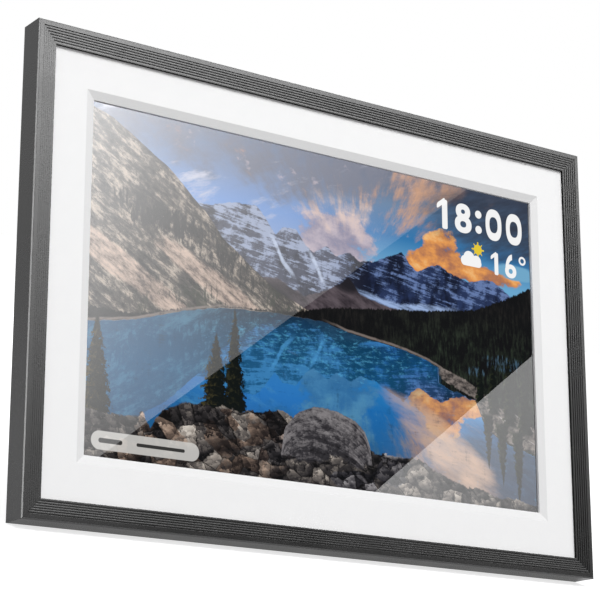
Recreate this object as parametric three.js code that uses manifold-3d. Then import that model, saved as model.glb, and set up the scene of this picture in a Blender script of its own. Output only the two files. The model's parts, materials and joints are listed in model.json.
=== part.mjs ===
// A ten-inch digital photo frame, leaning back on its fold-out easel stand.
// Millimetres. Everything is laid out in the frame's own axes: X runs to the right, Y from the front
// face towards the back, and Z up the picture. One group at the end leans it all back onto the stand.
import * as THREE from 'three';
import { mergeVertices } from 'three/addons/utils/BufferGeometryUtils.js';
import Module from 'manifold-3d';

const wasm = await Module();
wasm.setup();

// Outside of the moulding, and the lean of the whole frame
const WIDTH = 268;
const HEIGHT = 187.4;
const MOULDING_DEPTH = 11.8;
const LEAN = THREE.MathUtils.degToRad(20);
const GAP = 0.3;

// Moulding section: a plain band, then steps that run in and down to the lip over the mat
const FACE = 8.2;
const BAND = 2.3;
const STEPS = 6;
const STEP_RUN = 0.94;
const STEP_DROP = 0.28;
const LIP_BACK = 2.5;
const WALL = 3.0;
const EDGE_CHAMFER = 0.5;
const MITRE_GAP = 0.12;

// Layers from the mat back to the cover, as front and back depths
const MAT = [2.8, 4.9];
const GASKET = [5.2, 5.8];
const GLASS = [6.1, 7.1];
const PANEL = [7.4, 8.7];
const BACKLIGHT = [9.0, 10.8];
const CHASSIS = [11.1, 12.1];
const BOARD = [13.4, 14.6];
const FLANGE = [10.2, MOULDING_DEPTH];
const HUMP_BACK = 21.8;

// How far each layer's edge lies inside the moulding's outside
const MAT_INSET = 3.4;
const BEVEL_INSET = 22.5;
const WINDOW_INSET = 25.9;
const BEVEL_DEPTH = 1.0;
const BOSS_RING = [9.4, BACKLIGHT[1]];
const GLASS_RING_BACK = 9.9;
const GASKET_INSET = [15, 25.6];
const GLASS_INSET = 14;
const PANEL_INSET = 19.2;
const INNER_FRAME_INSET = 7.2;
const CHASSIS_INSET = 10.4;
const HUMP_INSET = 8;
const COVER_WALL = 1.8;
const HUMP_ROUND = 2;
const HUMP_CORNER = 3;
const CAVITY_CORNER = 1.5;

// Easel stand: the pin's place on the back, and how far behind the moulding the foot stands
const PIN_Y = 20;
const PIN_Z = 112;
const PIN_RADIUS = 1.2;
const PIN_HALF = 25.6;
const FOOT_REACH = 53;
const LEG_HALF_THICK = 1.6;
const KNUCKLE_RADIUS = 1.9;
const KNUCKLE_HALF = 22.8;
const LEG_TOP_HALF = 27;
const LEG_FOOT_HALF = 20;
const PAD_HEIGHT = 5;
const RECESS_FLOOR = 17.9;
const RECESS_CLEARANCE = 0.8;

// Sockets and the button come out of the cover's right-hand wall
const SIDE_WALL = WIDTH / 2 - HUMP_INSET;
const SOCKET_Y = 16.2;
const INLET_Z = 64;
const CARD_Z = 84;
const BUTTON_Z = 108;
const BUTTON_HALF = [1.7, 4];
const BUTTON_PROUD = 0.7;

// Back-panel details
const KEYHOLES = [
  { x: -76, z: 143, turn: 0 },
  { x: 76, z: 143, turn: 0 },
  { x: -101, z: 53, turn: Math.PI / 2 },
  { x: -101, z: 134, turn: Math.PI / 2 },
];
const KEYHOLE_RADIUS = 4.3;
const KEYHOLE_SLOT_RADIUS = 2.2;
const KEYHOLE_RUN = 9;
const KEYHOLE_FLOOR = 14.6;
const COVER_SCREWS = [[-117, 17.5], [117, 17.5], [-117, 169.9], [117, 169.9], [-46, 34], [46, 34]];
const BOARD_AREA = { x0: 60, x1: 121.4, z0: 50, z1: 128 };
const BOARD_SCREWS = [[64, 54], [116, 54], [64, 124], [116, 124]];
const CHASSIS_SCREWS = [[-70, 16.3], [70, 16.3], [-70, HEIGHT - 16.3], [70, HEIGHT - 16.3]];
const CORNER_SCREW_INSET = 5.5;
const PILOT_RADIUS = 1.25;
const COVER_PILOT_RADIUS = 1.3;
const CORNER_PILOT_RADIUS = 0.85;
const SPEAKER = { x: 84, z: 30, halfX: 16, halfZ: 8, front: 13.4, back: 19 };
const VENT = { count: 15, pitch: 5.2, z: 150, half: 8, radius: 0.9 };
const GRILLE = { count: 7, pitch: 3.6, half: 6, radius: 0.8 };

// --- Solids -------------------------------------------------------------------------------------

// A closed triangle mesh as a solid that can be joined and cut
function toSolid(geometry) {
  const bare = geometry.clone();
  bare.deleteAttribute('normal');
  bare.deleteAttribute('uv');
  const merged = mergeVertices(bare);
  const vertProperties = new Float32Array(merged.attributes.position.array);
  const triVerts = new Uint32Array(merged.index.array);
  return new wasm.Manifold(new wasm.Mesh({ numProp: 3, vertProperties, triVerts }));
}

function toGeometry(solid) {
  const mesh = solid.getMesh();
  const geometry = new THREE.BufferGeometry();
  geometry.setAttribute('position', new THREE.BufferAttribute(new Float32Array(mesh.vertProperties), 3));
  geometry.setIndex(new THREE.BufferAttribute(new Uint32Array(mesh.triVerts), 1));
  const flat = geometry.toNonIndexed();
  flat.computeVertexNormals();
  return flat;
}

// One solid from a list of shapes to join and a list of shapes to cut away
function build(joined, cuts = []) {
  const [first, ...rest] = joined.map(toSolid);
  let solid = first;
  for (const piece of rest) solid = solid.add(piece);
  for (const piece of cuts.map(toSolid)) solid = solid.subtract(piece);
  return toGeometry(solid);
}

function box([x0, x1], [y0, y1], [z0, z1]) {
  const geometry = new THREE.BoxGeometry(x1 - x0, y1 - y0, z1 - z0);
  return geometry.translate((x0 + x1) / 2, (y0 + y1) / 2, (z0 + z1) / 2);
}

// A flat outline in X and Z, given its thickness from y0 to y1
function plate(shape, [y0, y1], curveSegments = 3) {
  const geometry = new THREE.ExtrudeGeometry(shape, { depth: y1 - y0, bevelEnabled: false, curveSegments });
  return geometry.rotateX(Math.PI / 2).translate(0, y1, 0);
}

// A round rod along Y
function rod(x, z, radius, [y0, y1], sides = 12) {
  const geometry = new THREE.CylinderGeometry(radius, radius, y1 - y0, sides);
  return geometry.translate(x, (y0 + y1) / 2, z);
}

// A round rod along X
function axle(y, z, radius, [x0, x1], sides = 20) {
  const geometry = new THREE.CylinderGeometry(radius, radius, x1 - x0, sides);
  return geometry.rotateZ(-Math.PI / 2).translate((x0 + x1) / 2, y, z);
}

// A rectangle with rounded corners, from its middle and half sizes
function roundedRect(x, z, halfX, halfZ, radius) {
  const shape = new THREE.Shape();
  const corners = [
    [x + halfX - radius, z + halfZ - radius, 0],
    [x - halfX + radius, z + halfZ - radius, Math.PI / 2],
    [x - halfX + radius, z - halfZ + radius, Math.PI],
    [x + halfX - radius, z - halfZ + radius, Math.PI * 1.5],
  ];
  for (const [cx, cz, start] of corners) shape.absarc(cx, cz, radius, start, start + Math.PI / 2, false);
  shape.closePath();
  return shape;
}

// A rectangle the shape of the frame's face, drawn in from its outside by an inset
function faceRect(inset, radius = 0) {
  const halfX = WIDTH / 2 - inset;
  const halfZ = HEIGHT / 2 - inset;
  if (radius > 0) return roundedRect(0, HEIGHT / 2, halfX, halfZ, radius);
  const shape = new THREE.Shape();
  shape.moveTo(-halfX, inset);
  shape.lineTo(halfX, inset);
  shape.lineTo(halfX, HEIGHT - inset);
  shape.lineTo(-halfX, HEIGHT - inset);
  shape.closePath();
  return shape;
}

// A flat ring between two insets
function faceRing(outer, inner, depths) {
  const shape = faceRect(outer);
  shape.holes.push(faceRect(inner));
  return plate(shape, depths);
}

// --- Looks --------------------------------------------------------------------------------------

const FINISH = {
  moulding: { color: '#4b4c4b', roughness: 0.5, metalness: 0.1 },
  card: { color: '#f4f4f5', roughness: 0.9, metalness: 0 },
  foam: { color: '#4a4a4c', roughness: 0.9, metalness: 0 },
  glass: { color: '#c8d2d8', roughness: 0.05, metalness: 0 },
  screen: { color: '#3f5f86', roughness: 0.4, metalness: 0 },
  steel: { color: '#a5a7aa', roughness: 0.35, metalness: 0.9 },
  plastic: { color: '#2c2c2e', roughness: 0.6, metalness: 0 },
  board: { color: '#1e5b3a', roughness: 0.5, metalness: 0 },
  copper: { color: '#c98a4e', roughness: 0.4, metalness: 0.8 },
  rubber: { color: '#1c1c1d', roughness: 0.85, metalness: 0 },
};

const leaning = new THREE.Group();

function place(name, geometry, finish, parent = leaning) {
  const mesh = new THREE.Mesh(geometry, new THREE.MeshStandardMaterial(FINISH[finish]));
  mesh.name = name;
  parent.add(mesh);
  return mesh;
}

// --- Moulding: four stepped lengths, mitred and joined by corner keys ---------------------------

function mouldingSection() {
  const shape = new THREE.Shape();
  shape.moveTo(0, MOULDING_DEPTH);
  shape.lineTo(0, EDGE_CHAMFER);
  shape.lineTo(EDGE_CHAMFER, 0);
  for (let i = 0; i < STEPS; i += 1) {
    shape.lineTo(BAND + i * STEP_RUN, i * STEP_DROP);
    shape.lineTo(BAND + i * STEP_RUN, (i + 1) * STEP_DROP);
  }
  shape.lineTo(FACE, STEPS * STEP_DROP);
  shape.lineTo(FACE, LIP_BACK);
  shape.lineTo(WALL, LIP_BACK);
  shape.lineTo(WALL, MOULDING_DEPTH);
  shape.closePath();
  return shape;
}

// One length, X inwards, its ends cut back by 45 degrees
function mouldingLength(length) {
  const geometry = new THREE.ExtrudeGeometry(mouldingSection(), { depth: length, bevelEnabled: false });
  const points = geometry.attributes.position;
  for (let i = 0; i < points.count; i += 1) {
    const cut = points.getX(i) + MITRE_GAP;
    points.setZ(i, points.getZ(i) > length / 2 ? length - cut : cut);
  }
  geometry.computeVertexNormals();
  return geometry;
}

const CORNERS = [
  { name: 'bottom_left', x: -1, z: 0, turn: 0 },
  { name: 'bottom_right', x: 1, z: 0, turn: -Math.PI / 2 },
  { name: 'top_right', x: 1, z: 1, turn: Math.PI },
  { name: 'top_left', x: -1, z: 1, turn: Math.PI / 2 },
];
const SIDES = ['left', 'bottom', 'right', 'top'];

CORNERS.forEach((corner, i) => {
  const length = i % 2 === 0 ? HEIGHT : WIDTH;
  const side = place(`moulding_${SIDES[i]}`, mouldingLength(length), 'moulding');
  side.position.set(corner.x * WIDTH / 2, 0, corner.z * HEIGHT);
  side.rotation.y = corner.turn;
});

const KEY_START = 3.3;
const KEY_WIDTH = 3.6;
const KEY_LENGTH = 20;
const KEY_DEPTHS = [5.2, 9.9];
const KEY_HOLE = [7, 11];

function cornerKey() {
  const end = KEY_START + KEY_LENGTH;
  const inner = KEY_START + KEY_WIDTH;
  const across = box([KEY_START, end], KEY_DEPTHS, [KEY_START, inner]);
  const upright = box([KEY_START, inner], KEY_DEPTHS, [KEY_START, end]);
  const hole = rod(CORNER_SCREW_INSET, CORNER_SCREW_INSET, CORNER_PILOT_RADIUS, KEY_HOLE, 8);
  return build([across, upright], [hole]);
}

for (const corner of CORNERS) {
  const key = place(`corner_key_${corner.name}`, cornerKey(), 'steel');
  key.position.set(corner.x * WIDTH / 2, 0, corner.z * HEIGHT);
  key.rotation.y = corner.turn;
}

// --- Front: mat, gasket, glass, panel and backlight ---------------------------------------------

// A block whose front rectangle is larger than its back one
function windowCutter() {
  const depths = [MAT[0], MAT[0] + BEVEL_DEPTH];
  const block = box([-1, 1], depths, [0, 1]);
  const points = block.attributes.position;
  for (let i = 0; i < points.count; i += 1) {
    const inset = points.getY(i) < (depths[0] + depths[1]) / 2 ? BEVEL_INSET : WINDOW_INSET;
    points.setX(i, Math.sign(points.getX(i)) * (WIDTH / 2 - inset));
    points.setZ(i, points.getZ(i) > 0.5 ? HEIGHT - inset : inset);
  }
  return block;
}

const windowHole = plate(faceRect(WINDOW_INSET), [MAT[0] + GAP, MAT[1] + 1]);
place('mat', build([plate(faceRect(MAT_INSET), MAT)], [windowCutter(), windowHole]), 'card');
place('screen_gasket', faceRing(...GASKET_INSET, GASKET), 'foam');
place('cover_glass', plate(faceRect(GLASS_INSET, 3), GLASS), 'glass');
place('lcd_panel', plate(faceRect(PANEL_INSET), PANEL), 'screen');
place('backlight_unit', plate(faceRect(PANEL_INSET), BACKLIGHT), 'steel');

// Three joined rings: around the glass, around the panel, and a broader one that the chassis screws into
const CHASSIS_SCREW_HOLE = [8, 12];
place('inner_frame', build(
  [
    faceRing(INNER_FRAME_INSET, GLASS_INSET - GAP, [GASKET[0], GLASS_RING_BACK]),
    faceRing(GLASS_INSET - 1, PANEL_INSET - GAP, [PANEL[0], BACKLIGHT[1]]),
    faceRing(CHASSIS_INSET, PANEL_INSET - GAP, BOSS_RING),
  ],
  CHASSIS_SCREWS.map(([x, z]) => rod(x, z, PILOT_RADIUS, CHASSIS_SCREW_HOLE, 8)),
), 'plastic');

// --- Chassis plate with its standoffs -----------------------------------------------------------

const STANDOFF_FRONT = CHASSIS[0] + 0.5;
const COVER_STANDOFF = { radius: 2.6, back: 13.2 };
const BOARD_STANDOFF = { radius: 2.4, back: BOARD[0] - GAP };
const standoff = (x, z, { radius, back }) => rod(x, z, radius, [STANDOFF_FRONT, back]);
const CHASSIS_HOLES = [10, 15];
const RIBBON_SLOT_Z = [42, 45];
const RIBBONS = [
  { name: 'display_ribbon', x0: 72, x1: 94 },
  { name: 'touch_ribbon', x0: 100, x1: 110 },
];

place('chassis_plate', build(
  [
    plate(faceRect(CHASSIS_INSET), CHASSIS),
    ...COVER_SCREWS.map(([x, z]) => standoff(x, z, COVER_STANDOFF)),
    ...BOARD_SCREWS.map(([x, z]) => standoff(x, z, BOARD_STANDOFF)),
  ],
  [
    ...COVER_SCREWS.map(([x, z]) => rod(x, z, COVER_PILOT_RADIUS, CHASSIS_HOLES, 8)),
    ...BOARD_SCREWS.map(([x, z]) => rod(x, z, PILOT_RADIUS, CHASSIS_HOLES, 8)),
    ...CHASSIS_SCREWS.map(([x, z]) => rod(x, z, PILOT_RADIUS, CHASSIS_HOLES, 8)),
    ...RIBBONS.map(({ x0, x1 }) => box([x0 - 1, x1 + 1], CHASSIS_HOLES, RIBBON_SLOT_Z)),
  ],
), 'steel');

// --- Main board and what sits on it -------------------------------------------------------------

const ON_BOARD = BOARD[1] + GAP;
const { x0: boardLeft, x1: boardRight, z0: boardBottom, z1: boardTop } = BOARD_AREA;

const BOARD_HOLES = [12, 16];

place('main_board', build(
  [box([boardLeft, boardRight], BOARD, [boardBottom, boardTop])],
  BOARD_SCREWS.map(([x, z]) => rod(x, z, PILOT_RADIUS, BOARD_HOLES, 8)),
), 'board');

const SHIELD = { x: 87, z: 88, halfX: 15, halfZ: 16, corner: 1.5, back: 17 };
const shieldShape = roundedRect(SHIELD.x, SHIELD.z, SHIELD.halfX, SHIELD.halfZ, SHIELD.corner);
place('processor_shield', plate(shieldShape, [ON_BOARD, SHIELD.back], 3), 'steel');

// A block at a socket's height z: its run in X, its depths from the socket line, and its half height
function socketBlock(z, run, [front, back], half) {
  return box(run, [SOCKET_Y + front, SOCKET_Y + back], [z - half, z + half]);
}

// USB-C inlet: a shell with solder legs behind it, hollow around the tongue
const INLET_SHELL = { run: [116.5, 123.9], depths: [-1.3, 1.9], half: 4.5 };
const INLET_TAIL = { run: [116, 117], depths: [-1, 1.6], half: 3.4 };
const INLET_HOLLOW = { run: [117.7, 125], half: 4.2, tongue: [-0.05, 0.65], tongueEnd: 122.3 };
const [tongueFront, tongueBack] = INLET_HOLLOW.tongue;

place('usb_c_inlet', build(
  [
    socketBlock(INLET_Z, INLET_SHELL.run, INLET_SHELL.depths, INLET_SHELL.half),
    socketBlock(INLET_Z, INLET_TAIL.run, INLET_TAIL.depths, INLET_TAIL.half),
  ],
  [
    socketBlock(INLET_Z, INLET_HOLLOW.run, [INLET_TAIL.depths[0], tongueFront], INLET_HOLLOW.half),
    socketBlock(INLET_Z, INLET_HOLLOW.run, [tongueBack, INLET_TAIL.depths[1]], INLET_HOLLOW.half),
    socketBlock(
      INLET_Z,
      [INLET_HOLLOW.tongueEnd, INLET_HOLLOW.run[1]],
      [tongueFront - 0.05, tongueBack + 0.05],
      INLET_HOLLOW.half,
    ),
  ],
), 'steel');

// Card socket: a flat shell with a slot for the card
const CARD_SHELL = { run: [108, 122.6], thick: 1.9, half: 7 };
const CARD_SLOT = { run: [110, 124], depths: [0.5, 1.4], half: 5.6 };
const cardBlock = (run, [front, back], half) => (
  box(run, [ON_BOARD + front, ON_BOARD + back], [CARD_Z - half, CARD_Z + half])
);

place('card_socket', build(
  [cardBlock(CARD_SHELL.run, [0, CARD_SHELL.thick], CARD_SHELL.half)],
  [cardBlock(CARD_SLOT.run, CARD_SLOT.depths, CARD_SLOT.half)],
), 'steel');

// Tact switch behind the button: a block and its round plunger
const SWITCH = { run: [117.4, 120.9], thick: 3, half: 2.6, plunger: 1.1, plungerEnd: 121.9 };

place('power_switch', build([
  box(SWITCH.run, [ON_BOARD, ON_BOARD + SWITCH.thick], [BUTTON_Z - SWITCH.half, BUTTON_Z + SWITCH.half]),
  axle(SOCKET_Y, BUTTON_Z, SWITCH.plunger, [SWITCH.run[1] - 0.9, SWITCH.plungerEnd], 16),
]), 'plastic');

// The button's flange stays inside the wall, its cap passes through it
const FLANGE_RUN = [122.7, 123.9];
const FLANGE_HALF = [2.3, 5.4];
const CAP_INNER = 123.5;
const capShape = roundedRect(0, 0, BUTTON_HALF[0], BUTTON_HALF[1], 1.6);

place('power_button', build([
  socketBlock(BUTTON_Z, FLANGE_RUN, [-FLANGE_HALF[0], FLANGE_HALF[0]], FLANGE_HALF[1]),
  plate(capShape, [-SIDE_WALL - BUTTON_PROUD, -CAP_INNER], 4)
    .rotateZ(Math.PI / 2)
    .translate(0, SOCKET_Y, BUTTON_Z),
]), 'plastic');

// --- Speakers, antenna, leads and ribbons -------------------------------------------------------

const DISH = { radius: 6.4, depth: 1.4 };

for (const [name, side] of [['left', -1], ['right', 1]]) {
  const shape = roundedRect(side * SPEAKER.x, SPEAKER.z, SPEAKER.halfX, SPEAKER.halfZ, 3);
  const dishDepths = [SPEAKER.back - DISH.depth, SPEAKER.back + 1];
  const dish = rod(side * SPEAKER.x, SPEAKER.z, DISH.radius, dishDepths, 24);
  place(`speaker_${name}`, build([plate(shape, [SPEAKER.front, SPEAKER.back], 3)], [dish]), 'plastic');
}

const ANTENNA = { x: [-98, -62], y: [19.2, 19.7], z: [162, 168] };
place('wifi_antenna', box(ANTENNA.x, ANTENNA.y, ANTENNA.z), 'copper');

// A round lead along a smooth route
function lead(points, radius) {
  const section = new THREE.Shape();
  section.absarc(0, 0, radius, 0, Math.PI * 2, false);
  const route = new THREE.CatmullRomCurve3(points.map((p) => new THREE.Vector3(...p)));
  return new THREE.ExtrudeGeometry(section, { steps: 24, extrudePath: route, curveSegments: 4 });
}

// Each lead's route, point by point, and its radius
const LEADS = {
  antenna_lead: {
    radius: 0.5,
    route: [
      [-61.5, 18.6, 165], [-50, 17.6, 164], [0, 16, 163.5],
      [48, 16, 160], [59, 16, 142], [67, 15.9, 125],
    ],
  },
  speaker_lead_left: {
    radius: 0.6,
    route: [
      [-67.6, 15.4, 30], [-56, 14, 25], [0, 13.4, 22], [50, 14, 24],
      [64, 15.8, 40], [69, 16, 52], [69, 16, 64],
    ],
  },
  speaker_lead_right: {
    radius: 0.6,
    route: [[84, 16.2, 38.4], [84, 16.6, 46], [84, 16.6, 57], [84, 16, 68]],
  },
};

for (const [name, { route, radius }] of Object.entries(LEADS)) {
  place(name, lead(route, radius), 'rubber');
}

// A flat ribbon: up through the chassis slot and onto the back of the board
const RIBBON_START = 11;
const RIBBON_TURN = 14.2;
const RIBBON_BACK = 15.2;
const RIBBON_Z = [43.2, 43.5];
const RIBBON_BEND_END = 44.6;
const RIBBON_TOP = 56;

for (const { name, x0, x1 } of RIBBONS) {
  const bend = new THREE.Shape();
  bend.moveTo(RIBBON_START, RIBBON_Z[0]);
  bend.lineTo(RIBBON_TURN, RIBBON_Z[0]);
  bend.quadraticCurveTo(RIBBON_BACK, RIBBON_Z[0] + 0.1, RIBBON_BACK, RIBBON_BEND_END);
  bend.lineTo(RIBBON_BACK, RIBBON_TOP);
  bend.lineTo(ON_BOARD, RIBBON_TOP);
  bend.lineTo(ON_BOARD, RIBBON_BEND_END);
  bend.quadraticCurveTo(ON_BOARD, RIBBON_Z[1] + 0.1, RIBBON_TURN, RIBBON_Z[1]);
  bend.lineTo(RIBBON_START, RIBBON_Z[1]);
  bend.closePath();
  const strip = new THREE.ExtrudeGeometry(bend, { depth: x1 - x0, bevelEnabled: false, curveSegments: 4 });
  strip.rotateX(Math.PI / 2).rotateZ(Math.PI / 2);
  place(name, strip.translate(x0, 0, 0), 'copper');
}

// --- Screws -------------------------------------------------------------------------------------

// A cross-recessed screw, its head outermost, on a point (x, z) of the back
const CROSS_REACH = 0.55;
const CROSS_DEPTH = 0.6;
const CROSS_HALF = 0.25;

function screw({ x, z, headRadius, radius, head, tip }) {
  const cross = headRadius * CROSS_REACH;
  const depths = [head[1] - (head[1] - head[0]) * CROSS_DEPTH, head[1] + 1];
  return build(
    [rod(x, z, headRadius, head, 14), rod(x, z, radius, [tip, head[0] + 0.2], 8)],
    [
      box([x - cross, x + cross], depths, [z - CROSS_HALF, z + CROSS_HALF]),
      box([x - CROSS_HALF, x + CROSS_HALF], depths, [z - cross, z + cross]),
    ],
  );
}

function placeScrews(name, points, size) {
  points.forEach(([x, z], i) => place(`${name}_${i + 1}`, screw({ x, z, ...size }), 'steel'));
}

const COVER_SCREW = { headRadius: 2.3, radius: 1, head: [15.3, 17], tip: 11.4 };
const BOARD_SCREW = { headRadius: 1.9, radius: 0.95, head: [ON_BOARD, 16.1], tip: 11.5 };
const CHASSIS_SCREW = { headRadius: 1.9, radius: 0.95, head: [12.4, 13.6], tip: 8.4 };
const CORNER_SCREW = { headRadius: 1.45, radius: 0.6, head: [11, MOULDING_DEPTH - 0.1], tip: 7.4 };
const BRACKET_SCREW = { headRadius: 1.8, radius: 0.8, head: [19.5, 20.7], tip: 14.6 };
const cornerX = WIDTH / 2 - CORNER_SCREW_INSET;
const cornerPoints = [
  [-cornerX, CORNER_SCREW_INSET],
  [cornerX, CORNER_SCREW_INSET],
  [cornerX, HEIGHT - CORNER_SCREW_INSET],
  [-cornerX, HEIGHT - CORNER_SCREW_INSET],
];

placeScrews('cover_screw', COVER_SCREWS, COVER_SCREW);
placeScrews('board_screw', BOARD_SCREWS, BOARD_SCREW);
placeScrews('chassis_screw', CHASSIS_SCREWS, CHASSIS_SCREW);
placeScrews('corner_screw', cornerPoints, CORNER_SCREW);

// --- Easel stand --------------------------------------------------------------------------------

// Foot on the table: FOOT_REACH behind the moulding's lower back edge
const footY = MOULDING_DEPTH + FOOT_REACH * Math.cos(LEAN);
const footZ = FOOT_REACH * Math.sin(LEAN);
const legLength = Math.hypot(footY - PIN_Y, PIN_Z - footZ);
const legAngle = Math.atan2(footY - PIN_Y, PIN_Z - footZ);
const padTilt = legAngle - LEAN;

// Outline of the folded leg in X and Z below the pin, spread outwards by a margin
const SHOULDER = 14;
const NECK = 6;

function legOutline(margin, bottom) {
  const top = margin;
  const shape = new THREE.Shape();
  shape.moveTo(-LEG_FOOT_HALF - margin, bottom);
  shape.lineTo(LEG_FOOT_HALF + margin, bottom);
  shape.lineTo(LEG_TOP_HALF + margin, top - SHOULDER);
  shape.lineTo(KNUCKLE_HALF + margin, top - NECK);
  shape.lineTo(KNUCKLE_HALF + margin, top);
  shape.lineTo(-KNUCKLE_HALF - margin, top);
  shape.lineTo(-KNUCKLE_HALF - margin, top - NECK);
  shape.lineTo(-LEG_TOP_HALF - margin, top - SHOULDER);
  shape.closePath();
  return shape;
}

const stand = new THREE.Group();
stand.position.set(0, PIN_Y, PIN_Z);
stand.rotation.x = legAngle;
leaning.add(stand);

const padTop = -(legLength - PAD_HEIGHT);
const tongueEnd = padTop - PAD_HEIGHT / 2 - 0.5;
const HEEL = { half: 9, clearance: 0.25, height: 4 };
const heelDepths = [RECESS_FLOOR - PIN_Y + HEEL.clearance, 0];
const heel = box([-HEEL.half, HEEL.half], heelDepths, [0, HEEL.height]).rotateX(-legAngle);
const TONGUE = { half: 14, halfThick: 0.7 };
const PIN_CLEARANCE = 0.07;
const PIN_BORE = [-40, 40];
const FINGER_HOLE = { z: -82, halfX: 9, halfZ: 5, corner: 4.9 };
const fingerShape = roundedRect(0, FINGER_HOLE.z, FINGER_HOLE.halfX, FINGER_HOLE.halfZ, FINGER_HOLE.corner);

place('stand_leg', build(
  [
    plate(legOutline(0, padTop + GAP), [-LEG_HALF_THICK, LEG_HALF_THICK]),
    axle(0, 0, KNUCKLE_RADIUS, [-KNUCKLE_HALF, KNUCKLE_HALF], 24),
    heel,
    box([-TONGUE.half, TONGUE.half], [-TONGUE.halfThick, TONGUE.halfThick], [tongueEnd, padTop + 1]),
  ],
  [
    axle(0, 0, PIN_RADIUS + PIN_CLEARANCE, PIN_BORE, 24),
    plate(fingerShape, [-5, 5]),
  ],
), 'plastic', stand);

// Rubber foot, cut so that its sole lies flat on the table
function footPad() {
  const rise = LEG_HALF_THICK * Math.tan(padTilt);
  const side = new THREE.Shape();
  side.moveTo(-LEG_HALF_THICK, -legLength + rise);
  side.lineTo(LEG_HALF_THICK, -legLength - rise);
  side.lineTo(LEG_HALF_THICK, padTop);
  side.lineTo(-LEG_HALF_THICK, padTop);
  side.closePath();
  const half = LEG_FOOT_HALF - 1;
  const block = new THREE.ExtrudeGeometry(side, { depth: half * 2, bevelEnabled: false });
  block.rotateX(Math.PI / 2).rotateZ(Math.PI / 2).translate(-half, 0, 0);
  const slotHalf = TONGUE.half + GAP;
  const slotThick = TONGUE.halfThick + GAP;
  return build([block], [box([-slotHalf, slotHalf], [-slotThick, slotThick], [tongueEnd - GAP, padTop + 1])]);
}

place('stand_foot_pad', footPad(), 'rubber', stand);

place('stand_pin', axle(PIN_Y, PIN_Z, PIN_RADIUS, [-PIN_HALF, PIN_HALF], 24), 'steel');

const EAR = [23.4, 24.8];
const BRACKET_FOOT = [24.3, 31];
const BRACKET_HALF = 3.6;
const BRACKET_SCREW_X = 28.2;
const BRACKET_THICK = 1;
const BRACKET_HOLE = { radius: 1.1, depths: [15, 20.4] };
const BRACKET_PILOT = { radius: 1.05, depths: [14.2, 19] };
const BRACKET_BOSS = { radius: 2.4, depths: [13.4, RECESS_FLOOR - 1] };

for (const [name, side] of [['left', -1], ['right', 1]]) {
  const across = (a, b) => (side > 0 ? [a, b] : [-b, -a]);
  const heights = [PIN_Z - BRACKET_HALF, PIN_Z + BRACKET_HALF];
  place(`stand_bracket_${name}`, build(
    [
      box(across(...EAR), [RECESS_FLOOR + GAP, HUMP_BACK - 0.2], heights),
      box(across(...BRACKET_FOOT), [RECESS_FLOOR + GAP, RECESS_FLOOR + GAP + BRACKET_THICK], heights),
    ],
    [
      axle(PIN_Y, PIN_Z, PIN_RADIUS + PIN_CLEARANCE, PIN_BORE, 24),
      rod(side * BRACKET_SCREW_X, PIN_Z, BRACKET_HOLE.radius, BRACKET_HOLE.depths, 8),
    ],
  ), 'steel');
}
placeScrews('bracket_screw', [[-BRACKET_SCREW_X, PIN_Z], [BRACKET_SCREW_X, PIN_Z]], BRACKET_SCREW);

// --- Rear cover ---------------------------------------------------------------------------------

// The raised back, its rear edges rounded over
function hump() {
  const shape = faceRect(HUMP_INSET + HUMP_ROUND, HUMP_CORNER);
  const geometry = new THREE.ExtrudeGeometry(shape, {
    depth: HUMP_BACK - FLANGE[0],
    bevelThickness: HUMP_ROUND,
    bevelSize: HUMP_ROUND,
    bevelSegments: 4,
    curveSegments: 5,
  });
  geometry.rotateX(Math.PI / 2).translate(0, HUMP_BACK - HUMP_ROUND, 0);
  return geometry;
}

// Depths that cut through the cover's back wall, and from a floor out through the back
const THROUGH_BACK = [19, 23];
const OUTSIDE = 24;

// An upright slot with round ends through the back wall
function slot(x, z, half, radius) {
  const shape = roundedRect(0, 0, radius, half, radius * 0.99);
  return plate(shape, THROUGH_BACK, 1).translate(x, 0, z);
}

function keyhole({ x, z, turn }) {
  const entry = rod(0, 0, KEYHOLE_RADIUS, THROUGH_BACK, 20);
  const run = slot(0, KEYHOLE_RUN / 2, KEYHOLE_RUN / 2 + KEYHOLE_SLOT_RADIUS, KEYHOLE_SLOT_RADIUS);
  return [entry, run].map((shape) => shape.rotateY(-turn).translate(x, 0, z));
}

// The blind box behind a keyhole that takes the wall screw's head
const POCKET = { half: 6.5, top: 15, wall: 1.3, floorThick: 1.4 };

function keyholePocket({ x, z, turn }, margin) {
  const floor = KEYHOLE_FLOOR + (margin > 0 ? 0 : POCKET.floorThick);
  const back = HUMP_BACK - COVER_WALL + (margin > 0 ? 0.5 : 0);
  const half = POCKET.half + margin;
  const block = box([-half, half], [floor, back], [-half, POCKET.top + margin]);
  return block.rotateY(-turn).translate(x, 0, z);
}

// The recess the stand folds into, and the wider bay for its brackets
const BAY = { halfX: 32, halfZ: 6 };
const recessBottom = HUMP_INSET - 2 - PIN_Z;
const panBottom = HUMP_INSET + 0.5 - PIN_Z;
const panDepths = [RECESS_FLOOR - COVER_WALL, HUMP_BACK - COVER_WALL + 0.5];
const recessDepths = [RECESS_FLOOR, OUTSIDE];
const recessCut = plate(legOutline(RECESS_CLEARANCE, recessBottom), recessDepths);
const recessPan = plate(legOutline(RECESS_CLEARANCE + COVER_WALL, panBottom), panDepths);
recessCut.translate(0, 0, PIN_Z);
recessPan.translate(0, 0, PIN_Z);

function bay(margin, depths) {
  const halfX = BAY.halfX + margin;
  const halfZ = BAY.halfZ + margin;
  return box([-halfX, halfX], depths, [PIN_Z - halfZ, PIN_Z + halfZ]);
}

// A row of slots side by side, centred on x
function slotRow(x, z, { count, pitch, half, radius }) {
  return Array.from({ length: count }, (_, i) => {
    const offset = (i - (count - 1) / 2) * pitch;
    return slot(x + offset, z, half, radius);
  });
}

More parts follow.
